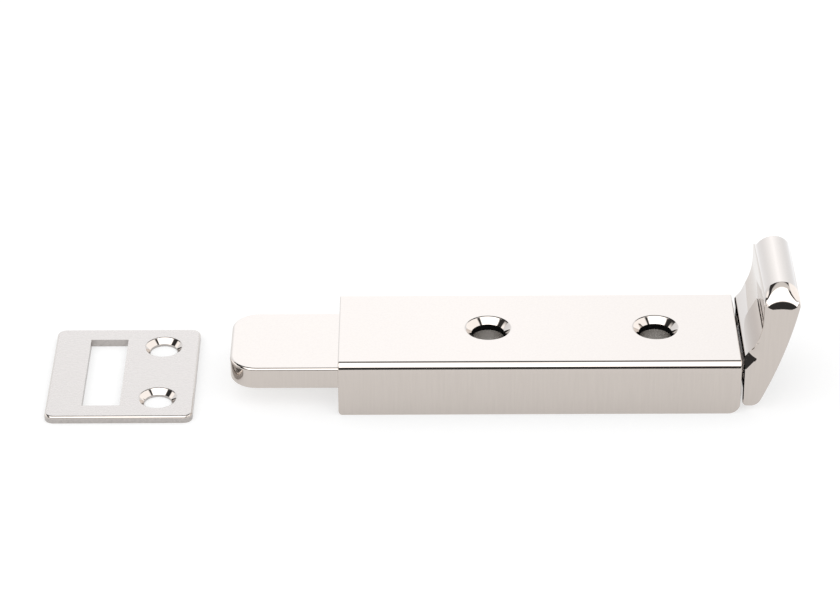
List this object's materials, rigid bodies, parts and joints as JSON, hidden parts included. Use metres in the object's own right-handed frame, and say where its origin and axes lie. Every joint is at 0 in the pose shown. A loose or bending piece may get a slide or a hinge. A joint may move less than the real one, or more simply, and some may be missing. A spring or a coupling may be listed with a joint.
{
  "type": "toggle bolt latch",
  "caption": "Surface-mounted slide bolt in a rectangular metal housing, drawn by a sprung toggle lever on its tail, with a flat slotted strike plate.",
  "frame": {"origin": "midway between the housing's two mounting holes, on the mounting plane under the housing", "axes": "+X along the bolt from its nose towards the lever, +Z away from the mounting plane, +Y across the latch"},
  "size_m": [0.142, 0.032, 0.0263],
  "materials": {
    "polished_steel": "mirror polished stainless steel",
    "satin_steel": "fine brushed satin",
    "plain_steel": "machined",
    "screw_steel": "plain zinc",
    "spring_steel": "drawn wire and rolled strip",
    "black_plastic": "acetal",
    "white_plastic": "low-friction tape"
  },
  "bodies": {
    "housing_body": {"housing": "polished_steel", "base_plate": "satin_steel", "base_screws": "screw_steel", "front_spacer_sleeve": "plain_steel", "rear_spacer_sleeve": "plain_steel", "front_slot_bush": "black_plastic", "rear_slot_bush": "black_plastic", "near_glide_strip": "white_plastic", "far_glide_strip": "white_plastic", "front_friction_shoe": "black_plastic", "centre_friction_shoe": "black_plastic", "front_shoe_spring": "spring_steel", "centre_shoe_spring": "spring_steel"},
    "bolt_body": {"bolt_bar": "polished_steel", "tail_block": "plain_steel", "tail_rivets": "plain_steel", "lever_pivot_pin": "plain_steel", "pivot_washers": "plain_steel", "lever_return_spring": "spring_steel"},
    "lever_body": {"toggle_lever": "polished_steel"},
    "strike_body": {"strike_plate": "satin_steel"}
  },
  "joints": [
    {"name": "bolt_slide", "type": "slide", "parent": "housing_body", "child": "bolt_body", "axis": [1, 0, 0], "range_m": [0, 0.02]},
    {"name": "toggle_tilt", "type": "hinge", "parent": "bolt_body", "child": "lever_body", "pos_m": [0.0342, 0, 0.0028], "axis": [0, 1, 0], "range_deg": [0, 40], "stiffness_Nm_per_rad": 0.05, "springref_deg": -11.46, "deforming": ["lever_return_spring"]},
    {"name": "strike_lift", "type": "slide", "parent": "housing_body", "child": "strike_body", "axis": [0, 0, 1], "range_m": [0, 0.03]}
  ]
}
